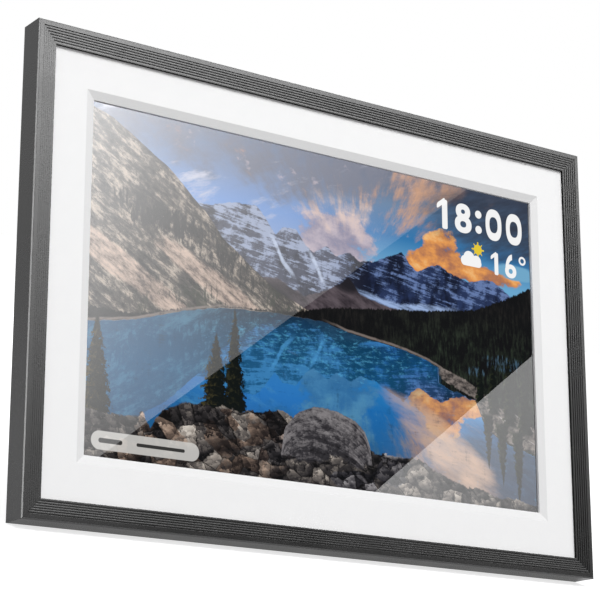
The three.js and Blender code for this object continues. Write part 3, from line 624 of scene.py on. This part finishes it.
class Landscape:
    """Paints a mountain lake at dusk, layer over layer, from the places u across and v up the window."""

    def __init__(self, nodes):
        self.nodes = nodes
        x, y, z = nodes.split(nodes.place())
        up = y * math.sin(LEAN) + z * math.cos(LEAN)
        base = (to_world @ Vector((0, 0, 0))).dot(Vector((0, math.sin(LEAN), math.cos(LEAN))))
        self.u = x / WINDOW_WIDTH + 0.5
        self.v = (up - base - WINDOW_INSET) / WINDOW_HEIGHT
        self.flat = nodes.point(self.u * ASPECT, self.v)

    def grain(self, across, along, detail=3.0, rough=0.55, shear=0.0, v=None):
        """Noise around zero: across and along are how often it changes over the window's height."""
        v = self.v if v is None else v
        place = self.nodes.point(self.u * (ASPECT * across), (v + self.u * shear) * along)
        return (self.nodes.noise(place, 1, detail, rough) - 0.5) * 2

    def blob(self, v, across, up, wide, tall, lean=0.0):
        """A soft oval patch, 1 in its middle and 0 outside."""
        dx = (self.u - across) * (1 / wide)
        dz = (v - up - (self.u - across) * lean) * (1 / tall)
        return self.nodes.smooth(dx * dx + dz * dz, 1.6, 0)

    def over(self, colour, share, layer, start=0.35, end=0.75):
        """Lays a colour or another layer over this one where share is high."""
        return self.nodes.mix(self.nodes.smooth(share, start, end), colour, layer)

    def sky(self, v):
        nodes, u = self.nodes, self.u
        left = nodes.ramp(v, [(0.7, srgb(140, 164, 208)), (0.8, srgb(112, 150, 208)),
                              (0.9, srgb(110, 132, 170)), (1, srgb(98, 116, 146))])
        right = nodes.ramp(v, [(0.7, srgb(110, 172, 212)), (0.8, srgb(52, 122, 178)),
                               (0.9, srgb(88, 122, 158)), (1, srgb(70, 84, 108))])
        colour = nodes.mix(nodes.smooth(u, 0.4, 0.7), left, right)
        wisps = self.grain(3, 8, 6, 0.62, -0.7, v)
        fine = self.grain(7, 22, 6, 0.65, -0.55, v)
        billow = self.grain(10, 13, 6, 0.62, 0.1, v)
        rays = self.rays(v)
        high = self.blob(v, 0.42, 1.02, 0.5, 0.2)
        colour = self.over(colour, high * 0.7 + rays * 0.9 + wisps * 0.7, srgb(108, 113, 132), 0.2, 0.9)
        colour = self.over(colour, wisps * 0.9 + fine * 0.9 + self.blob(v, 0.3, 0.83, 0.2, 0.07) * 0.3,
                           srgb(196, 198, 214), 0.25, 0.85)
        mauve = self.blob(v, 0.53, 0.755, 0.1, 0.09)
        shade = nodes.mix(nodes.smooth(billow, -0.3, 0.4), srgb(132, 128, 154), srgb(198, 184, 194))
        colour = self.over(colour, mauve * 0.9 + billow * 1.3, shade, 0.3, 0.7)
        fan = self.blob(v, 0.73, 0.94, 0.13, 0.13, 0.5)
        colour = self.over(colour, fan * 0.8 + rays * 1.8 + fine * 0.5, srgb(206, 156, 122), 0.35, 1.4)
        lit = self.blob(v, 0.55, 0.83, 0.13, 0.09)
        colour = self.over(colour, lit * 0.65 + rays * 0.9 + billow * 0.9, srgb(222, 196, 184), 0.4, 1.35)
        mass = self.blob(v, 0.775, 0.785, 0.05, 0.075, 0.5) + self.blob(v, 0.77, 0.745, 0.085, 0.045, 0.1)
        mass = nodes.low(mass + self.blob(v, 0.87, 0.735, 0.11, 0.035, -0.05), 1.2)
        tone = nodes.ramp(billow * 0.5 + 0.5 + (v - 0.76) * 1.2, [
            (0.3, srgb(120, 92, 96)), (0.46, srgb(186, 124, 88)), (0.58, srgb(236, 160, 88)),
            (0.72, srgb(252, 206, 142))])
        colour = self.over(colour, mass * 0.9 + billow * 1.5 * nodes.smooth(mass, 0, 0.35), tone, 0.3, 0.62)
        dusk = self.blob(v, 0.98, 0.92, 0.26, 0.15)
        colour = self.over(colour, dusk * 0.8 + fine * 0.6, srgb(54, 62, 78), 0.1, 1.0)
        return self.over(colour, self.blob(v, 0.97, 0.765, 0.06, 0.03) + fine * 0.6, srgb(116, 172, 206))

    def rays(self, v):
        """Streaks of cloud that fan out from low in the middle of the sky."""
        nodes = self.nodes
        across, up = (self.u - 0.57) * ASPECT, v - 0.6
        turn = nodes.math("ARCTAN2", up, across)
        far = nodes.math("SQRT", across * across + up * up)
        return (nodes.noise(nodes.point(turn * 6, far * 5), 1, 6, 0.66) - 0.5) * 2

    def mountains(self, v, colour):
        nodes, u = self.nodes, self.u
        crags = self.grain(26, 22, 6, 0.7, -0.6, v)
        spurs = self.grain(9, 4, 4, 0.6, 0.35, v)
        strata = self.grain(8, 66, 5, 0.72, 0.2, v)
        height = nodes.curve(u, PEAKS) + crags * 0.012
        near = nodes.smooth(u, 0.5, 0.62)
        rock = nodes.mix(near, srgb(76, 80, 98), srgb(40, 54, 90))
        dark = nodes.mix(near, srgb(48, 50, 62), srgb(18, 24, 44))
        face = self.over(rock, spurs * 1.4 + crags * 0.6, dark, -0.15, 0.35)
        cold = nodes.mix(near, srgb(168, 180, 208), srgb(112, 136, 186))
        line = strata * 1.2 + crags * 0.9 - spurs * 0.5 + (v - 0.66) * 1.2
        face = nodes.mix(nodes.smooth(line, -0.08, 0.32) * 0.85, face, cold)
        wander = spurs * 0.02
        chute = nodes.smooth(abs(u - 0.365 - (v - 0.75) * -0.5 + wander), 0.008, 0.002)
        chute = chute * nodes.smooth(v, 0.6, 0.64) * nodes.smooth(v, 0.74, 0.7)
        gully = nodes.smooth(abs(u - 0.5 - (v - 0.6) * -0.35 + wander), 0.007, 0.001)
        gully = gully * nodes.smooth(v, 0.6, 0.62) * nodes.smooth(v, 0.72, 0.68)
        both = (chute + gully) * nodes.smooth(crags, -0.5, 0.0)
        face = nodes.mix(both * 0.8, face, srgb(196, 208, 232))
        foot = nodes.curve(u, SNOWLINE) - v + crags * 0.012
        band = nodes.smooth(abs(foot), 0.016, 0.004)
        band = band * nodes.smooth(u, 0.56, 0.6) * nodes.smooth(u, 0.84, 0.76)
        face = nodes.mix(band * nodes.smooth(strata, -0.5, 0.1), face, srgb(158, 182, 224))
        return nodes.mix(nodes.smooth(height - v, 0, 0.004), colour, face)

    def foothills(self, v, colour):
        nodes, u = self.nodes, self.u
        texture = self.grain(14, 30, 5, 0.65, 0.6, v)
        height = nodes.curve(u, FOOTHILL) + texture * 0.012
        ground = nodes.mix(nodes.smooth(texture, -0.4, 0.4), srgb(46, 40, 46), srgb(98, 88, 94))
        dark = self.blob(v, 0.36, 0.53, 0.08, 0.06) + self.blob(v, 0.56, 0.63, 0.04, 0.04)
        ground = self.over(ground, dark + texture * 0.8, srgb(34, 32, 38), 0.2, 0.9)
        return nodes.mix(nodes.smooth(height - v, 0, 0.006), colour, ground)

    def slope(self, v, colour):
        """The bare mountainside on the left, streaked downhill, with fans of scree at its foot."""
        nodes, u = self.nodes, self.u
        streaks = self.grain(8, 24, 6, 0.68, 0.95, v)
        ribs = self.grain(12, 4, 4, 0.6, 0.6, v)
        grit = self.grain(30, 54, 5, 0.82, 0.9, v)
        height = nodes.curve(u, SLOPE) + streaks * 0.008 + ribs * 0.006
        face = nodes.ramp(streaks * 0.7 + ribs * 0.4 + grit * 0.75 + 0.5, [
            (0.22, srgb(22, 20, 20)), (0.5, srgb(82, 76, 71)), (0.76, srgb(184, 170, 156))])
        woods = self.grain(60, 16, 4, 0.75, 0.3, v)
        patch = self.blob(v, 0.27, 0.64, 0.22, 0.09, -0.5)
        patch = patch + self.blob(v, 0.1, 0.72, 0.12, 0.05, -0.2) * 0.6
        face = self.over(face, patch * 0.6 + woods * 1.2, srgb(40, 38, 38), 0.4, 0.8)
        fan = self.blob(v, 0.06, 0.56, 0.2, 0.05, -0.85) + self.blob(v, 0.27, 0.54, 0.14, 0.045, -0.8)
        scree = nodes.mix(nodes.smooth(streaks + grit * 1.3, -0.6, 0.6),
                          srgb(74, 62, 58), srgb(206, 182, 166))
        face = self.over(face, fan + streaks * 0.9 + woods * 0.4, scree, 0.3, 0.8)
        firs = self.grain(130, 20, 3, 0.7, 0, v) + self.grain(9, 9, 2, 0.5, 0, v)
        edge = nodes.curve(u, SHORE) + 0.045
        firs = nodes.smooth(firs, 0.12, 0.3) * nodes.smooth(v - edge, 0.05, 0.0)
        face = nodes.mix(firs * 0.85, face, srgb(44, 48, 38))
        return nodes.mix(nodes.smooth(height - v, 0, 0.004), colour, face)

    def forest(self, v, colour):
        nodes, u = self.nodes, self.u
        trunks = self.grain(110, 22, 4, 0.7, 0, v)
        clumps = self.grain(16, 14, 4, 0.6, 0, v)
        height = nodes.curve(u, FOREST) + trunks * 0.014 + clumps * 0.004
        low = nodes.smooth(v, 0.64, 0.46) * nodes.smooth(u, 0.55, 0.85)
        leaf = nodes.mix(low, srgb(36, 34, 33), srgb(54, 66, 52))
        tone = nodes.mix(nodes.smooth(trunks * 0.8 + clumps * 0.6, -0.15, 0.6), srgb(14, 15, 17), leaf)
        glade = self.blob(v, 0.93, 0.46, 0.06, 0.035) + self.blob(v, 0.86, 0.42, 0.04, 0.02)
        tone = self.over(tone, glade * 0.6 + trunks * 1.2, srgb(66, 92, 112), 0.5, 0.9)
        return nodes.mix(nodes.smooth(height - v, 0, 0.005), colour, tone)

    def lake_mask(self):
        nodes, u, v = self.nodes, self.u, self.v
        wobble = self.grain(36, 36, 3) * 0.006
        far = nodes.smooth(nodes.curve(u, SHORE) + wobble - v, 0, 0.004)
        bank = nodes.smooth(nodes.curve(u, RIGHT_SHORE) + wobble * 2 - v, 0, 0.004)
        return far * (1 - nodes.smooth(u, 0.765, 0.78) * (1 - bank))

    def paint(self):
        v = self.v
        lake = self.lake_mask()
        ripple = self.grain(22, 120, 3, 0.6) * 0.006
        seen = v + lake * ((MIRROR - v) * 2 + ripple)
        colour = self.sky(seen)
        colour = self.mountains(seen, colour)
        colour = self.foothills(seen, colour)
        colour = self.slope(seen, colour)
        colour = self.forest(seen, colour)
        colour = self.water(colour, lake)
        colour = self.banks(colour, lake)
        noises = self.grain(8, 26, 3, 0.6), self.grain(110, 80, 4, 0.75)
        for pine in PINES:
            colour = self.pine(colour, noises, *pine)
        return self.boulders(colour)

    def water(self, colour, lake):
        """The lake: what it mirrors, deepened and stained glacier blue."""
        nodes, u, v = self.nodes, self.u, self.v
        stained = nodes.mix(1.0, colour, srgb(120, 205, 250), "MULTIPLY")
        blue = nodes.ramp(v, [(0.1, srgb(16, 86, 140)), (0.28, srgb(24, 116, 170)), (0.42, srgb(12, 92, 136)),
                              (0.5, srgb(16, 52, 84))])
        warm = nodes.smooth(u, 0.62, 0.76) * nodes.smooth(v, 0.42, 0.3)
        wet = nodes.mix(0.42, stained, blue)
        wet = nodes.mix(warm * 0.8, wet, colour)
        glow = self.blob(v, 0.78, 0.17, 0.14, 0.09, -0.9) + self.grain(4, 12, 5, 0.6, 0.5)
        wet = self.over(wet, glow * 0.8, srgb(204, 172, 150), 0.2, 1.0)
        glint = self.grain(40, 90, 4, 0.7) + self.blob(v, 0.5, 0.4, 0.3, 0.09) * 0.35
        wet = nodes.mix(nodes.smooth(glint, 0.3, 0.75) * 0.5, wet, srgb(96, 184, 226))
        left = nodes.smooth(u, 0.34, 0.1)
        wet = nodes.mix(left * 0.45, wet, srgb(22, 92, 136))
        broken = self.grain(34, 9, 4, 0.7) + self.grain(10, 120, 3, 0.6) * 0.7
        wet = nodes.mix(nodes.smooth(broken, 0.1, 0.7) * 0.5, wet, srgb(12, 52, 78))
        wet = nodes.mix(nodes.smooth(broken, -0.2, -0.8) * 0.35, wet, srgb(88, 160, 196))
        return nodes.mix(lake, colour, wet)

    def banks(self, colour, lake):
        """The pale waterline, and the stones and drift logs of the right bank."""
        nodes, u, v = self.nodes, self.u, self.v
        line = nodes.curve(u, SHORE) + self.grain(30, 10) * 0.003 - v
        edge = nodes.smooth(abs(line + 0.003), 0.006, 0.001) * nodes.smooth(abs(u - 0.42), 0.07, 0.14)
        edge = edge * nodes.smooth(u, 0.8, 0.77) * nodes.smooth(self.grain(26, 26, 4), -0.6, 0.1)
        colour = nodes.mix(edge * 0.8, colour, srgb(136, 124, 118))
        ground = self.blob(v, 0.95, 0.255, 0.11, 0.05, -0.5) + self.blob(v, 0.82, 0.375, 0.07, 0.022, -0.5)
        stones = self.grain(44, 60, 5, 0.75)
        tone = nodes.mix(nodes.smooth(stones, -0.3, 0.4), srgb(44, 42, 42), srgb(142, 132, 126))
        dry = nodes.smooth(ground + stones * 0.7, 0.25, 0.6) * (1 - lake)
        colour = nodes.mix(dry, colour, tone)
        logs = self.grain(3.5, 46, 3, 0.6, 0.62)
        strip = self.blob(v, 0.95, 0.25, 0.1, 0.06, -0.5) * (1 - lake)
        return nodes.mix(nodes.smooth(logs, 0.24, 0.34) * strip, colour, srgb(176, 170, 168))

    def pine(self, colour, noises, middle, foot, tip, half, warm):
        """A spruce: a narrow cone whose edge is cut into ragged, drooping boughs."""
        nodes, u, v = self.nodes, self.u, self.v
        sway, needles = noises
        share = (tip - v) * (1 / (tip - foot))
        side = abs(u - middle + sway * 0.002) * (1 / half)
        boughs = nodes.math("FRACT", share * 9 - side * 0.8 + sway * 0.8)
        reach = nodes.math("POWER", nodes.high(share, 0.0001), 0.85)
        edge = reach * (0.62 + boughs * 0.24 + sway * 0.35) + needles * 0.5 * nodes.low(share * 3, 1) + 0.02
        inside = nodes.smooth(edge - side, -0.02, 0.08)
        inside = inside * nodes.smooth(share, 0, 0.02) * nodes.smooth(share, 1.08, 1.0)
        light = nodes.mix(warm, srgb(56, 64, 44), srgb(128, 110, 62))
        lit = needles * 0.9 + boughs * 0.35 - 0.25 - (u - middle) * (0.5 / half)
        tone = nodes.mix(nodes.smooth(lit, -0.1, 0.9), srgb(12, 18, 17), light)
        return nodes.mix(inside, colour, tone)

    def stones(self, scale, squash, warp):
        """Broken rock: each piece is a facet with its own tone, tilted its own way."""
        nodes = self.nodes
        place = nodes.point(self.u * ASPECT + warp * 0.03, self.v * squash + warp * -0.03)
        mx, mz, _ = nodes.split(nodes.cells(place, scale, output="Position"))
        px, pz, _ = nodes.split(place)
        tone, tilt, _ = nodes.split(nodes.cells(place, scale, output="Color"))
        lit = (pz - mz) * (0.7 * scale) - (px - mx) * (tilt - 0.25) * (1.1 * scale)
        return lit * 0.5 + (tone - 0.5), tilt, nodes.cells(place, scale, "DISTANCE_TO_EDGE")

    def boulders(self, colour):
        nodes, u, v = self.nodes, self.u, self.v
        warp = self.grain(9, 11, 5, 0.66)
        grit = self.grain(60, 60, 5, 0.8)
        veins = self.grain(10, 56, 5, 0.72, -0.5)
        big, big_tint, crack = self.stones(8.5, 1.5, warp)
        small, small_tint, crack_2 = self.stones(21, 1.3, warp)
        chip, _, _ = self.stones(58, 1.1, grit)
        near = nodes.smooth(v + warp * 0.05 + (big_tint - 0.5) * 0.09, 0.085, 0.1)
        value = nodes.mix(near, nodes.point(small, small, small), nodes.point(big, big, big))
        value, _, _ = nodes.split(value)
        value = value * 0.52 + chip * 0.34 + grit * 0.34 + veins * 0.26 + 0.42
        tone = nodes.ramp(value, [(0.1, srgb(14, 14, 16)), (0.36, srgb(52, 49, 50)),
                                  (0.58, srgb(104, 98, 94)), (0.78, srgb(164, 155, 146)),
                                  (0.95, srgb(214, 206, 196))])
        brown = nodes.smooth(small_tint + grit * 0.3, 0.6, 0.8) * nodes.smooth(u, 0.55, 0.35)
        browned = nodes.mix(1.0, tone, srgb(224, 184, 156), "MULTIPLY")
        tone = nodes.mix(brown * 0.6, tone, browned)
        blue = nodes.smooth(big_tint + grit * 0.3, 0.35, 0.2) * nodes.smooth(u, 0.3, 0.5)
        tone = nodes.mix(blue * 0.6, tone, nodes.mix(1.0, tone, srgb(190, 204, 236), "MULTIPLY"))
        gap = nodes.smooth(crack, 0.028, 0.0) * near + nodes.smooth(crack_2, 0.05, 0.0) * (1 - near)
        tone = nodes.mix(gap * nodes.smooth(veins, -0.6, 0.2), tone, srgb(10, 10, 11))
        dome_top = nodes.curve(u, DOME) + warp * 0.008
        layers = self.grain(9, 44, 5, 0.75, 0.25, v - dome_top * 0.8)
        dome_value = layers * 0.6 + grit * 0.45 + chip * 0.12 + (v - dome_top) * 2.0 + 0.72
        dome_tone = nodes.ramp(dome_value, [
            (0.2, srgb(16, 15, 18)), (0.5, srgb(56, 54, 58)), (0.8, srgb(134, 130, 132))])
        dome = nodes.smooth(dome_top - v, 0, 0.004) * nodes.smooth(v + warp * 0.07, 0.075, 0.085)
        tone = nodes.mix(dome, tone, dome_tone)
        top = nodes.high(nodes.curve(u, ROCKS) + warp * 0.02 + small * 0.012, dome_top) + grit * 0.006
        return nodes.mix(nodes.smooth(top - v, 0, 0.005), colour, tone)


# Each pine's middle, foot and tip in window fractions, its half width, and how warm its light is
PINES = [
    (0.028, 0.1, 0.41, 0.045, 0.75),
    (0.307, 0.17, 0.49, 0.036, 0.25),
    (0.268, 0.17, 0.405, 0.046, 0.4),
    (0.872, 0.33, 0.45, 0.016, 0.0),
    (0.905, 0.3, 0.48, 0.02, 0.05),
    (0.945, 0.27, 0.5, 0.024, 0.1),
    (0.984, 0.25, 0.53, 0.026, 0.05),
    (0.89, 0.285, 0.12, 0.018, 0.1),
    (0.925, 0.262, 0.07, 0.02, 0.05),
    (0.965, 0.24, 0.02, 0.022, 0.05),
]


# The weather icon's sun, in millimetres from the window's lower left corner
SUN = (189.1, 110.6)


class Overlay:
    """The clock, the weather and a caption pill, drawn over the landscape in millimetres."""

    def __init__(self, nodes, land):
        self.nodes = nodes
        self.x = land.u * (WINDOW_WIDTH / MM)
        self.z = land.v * (WINDOW_HEIGHT / MM)

    def filled(self, distance):
        return self.nodes.smooth(distance, 0.1, -0.1)

    def around(self, x, z, half_x, half_z, power=2.5):
        """How far out a point is from a rounded oval's middle, 1 on its edge."""
        nodes = self.nodes
        px = nodes.math("POWER", abs(self.x - x) * (1 / half_x), power)
        pz = nodes.math("POWER", abs(self.z - z) * (1 / half_z), power)
        return nodes.math("POWER", px + pz, 1 / power)

    def ring(self, x, z, half_x, half_z, stroke, power=2.5):
        across = abs(self.around(x, z, half_x, half_z, power) - 1) * ((half_x + half_z) / 2)
        return self.filled(across - stroke / 2)

    def disc(self, x, z, radius):
        return self.filled((self.around(x, z, radius, radius, 2) - 1) * radius)

    def bar(self, x, z, half_x, half_z, radius, slope=0.0):
        """A bar with round corners; slope makes it climb to the right."""
        nodes = self.nodes
        px = nodes.high(abs(self.x - x) - (half_x - radius), 0)
        pz = nodes.high(abs(self.z - z - (self.x - x) * slope) - (half_z - radius), 0)
        return self.filled(nodes.math("SQRT", px * px + pz * pz) - radius)

    def one(self, x, z, tall, stroke):
        stem = self.bar(x, z, stroke / 2, tall / 2, stroke * 0.3)
        flag = self.bar(x - stroke * 0.7, z + tall * 0.36, stroke * 0.75, stroke * 0.42, stroke * 0.3, 0.75)
        return self.nodes.high(stem, flag)

    def eight(self, x, z, tall, stroke):
        top = self.ring(x, z + tall * 0.225, tall * 0.19, tall * 0.17, stroke, 2.2)
        foot = self.ring(x, z - tall * 0.2, tall * 0.235, tall * 0.2, stroke, 2.2)
        return self.nodes.high(top, foot)

    def nought(self, x, z, tall, stroke):
        return self.ring(x, z, tall * 0.25, (tall - stroke) / 2, stroke, 2.4)

    def six(self, x, z, tall, stroke):
        bowl = self.ring(x, z - tall * 0.19, tall * 0.21, tall * 0.205, stroke, 2.1)
        tail = self.ring(x + tall * 0.13, z - tall * 0.12, tall * 0.34, tall * 0.56, stroke, 2.0)
        above = self.nodes.smooth(self.z - z, -tall * 0.2, -tall * 0.19)
        part = above * self.nodes.smooth(self.x - x, tall * 0.1, tall * 0.08)
        return self.nodes.high(bowl, tail * part)

    def union(self, shapes):
        whole = shapes[0]
        for shape in shapes[1:]:
            whole = self.nodes.high(whole, shape)
        return whole

    def paint(self, colour):
        nodes = self.nodes
        pill = self.bar(27.8, 7.0, 23.1, 3.5, 3.5)
        colour = nodes.mix(pill * 0.78, colour, srgb(214, 212, 208))
        words = self.union([self.bar(12.8, 7.0, 5.0, 0.9, 0.85), self.bar(34.2, 7.0, 10.4, 0.65, 0.6)])
        colour = nodes.mix(words * 0.95, colour, srgb(26, 26, 26))
        sun = [self.disc(*SUN, 2.2), self.bar(*SUN, 3.4, 0.35, 0.3), self.bar(*SUN, 0.35, 3.4, 0.3),
               self.bar(*SUN, 2.3, 0.35, 0.3, 1.0), self.bar(*SUN, 2.3, 0.35, 0.3, -1.0)]
        colour = nodes.mix(self.union(sun), colour, srgb(236, 206, 60))
        cloud = [self.disc(184.2, 106.2, 3.0), self.disc(188.2, 105.3, 2.5), self.disc(181.9, 104.8, 2.2),
                 self.bar(185.4, 104.3, 5.5, 1.7, 1.7)]
        digits = [self.one(171.4, 123.2, 13, 2.9), self.eight(181.4, 123.2, 13.2, 2.7),
                  self.disc(189.8, 126.4, 1.75), self.disc(189.8, 119.6, 1.75),
                  self.nought(198.2, 123.2, 13.4, 2.8), self.nought(209.6, 123.2, 13.4, 2.8),
                  self.one(199.2, 106, 9.8, 2.1), self.six(207.2, 106, 10.2, 2.0),
                  self.ring(213.8, 109.7, 1.5, 1.5, 0.9, 2.0)]
        return nodes.mix(self.union(cloud + digits), colour, srgb(252, 252, 252))


def picture_finish():
    material, nodes, shader = new_material("picture")
    shader.inputs["Base Color"].default_value = (0, 0, 0, 1)
    smear = nodes.noise(nodes.place(), 18, 2)
    nodes.put(shader.inputs["Roughness"], nodes.smooth(smear, 0.4, 0.8, 0.0, 0.012))
    shader.inputs["IOR"].default_value = 1.5
    shader.inputs["Specular IOR Level"].default_value = 1.0
    land = Landscape(nodes)
    nodes.put(shader.inputs["Emission Color"], Overlay(nodes, land).paint(land.paint()))
    shader.inputs["Emission Strength"].default_value = 0.92
    return material


screen_low, screen_high = own_box("lcd_panel")
slab("picture_film", (screen_low.x, PICTURE_DEPTH - PICTURE_THICKNESS, screen_low.z),
     (screen_high.x, PICTURE_DEPTH, screen_high.z), picture_finish())
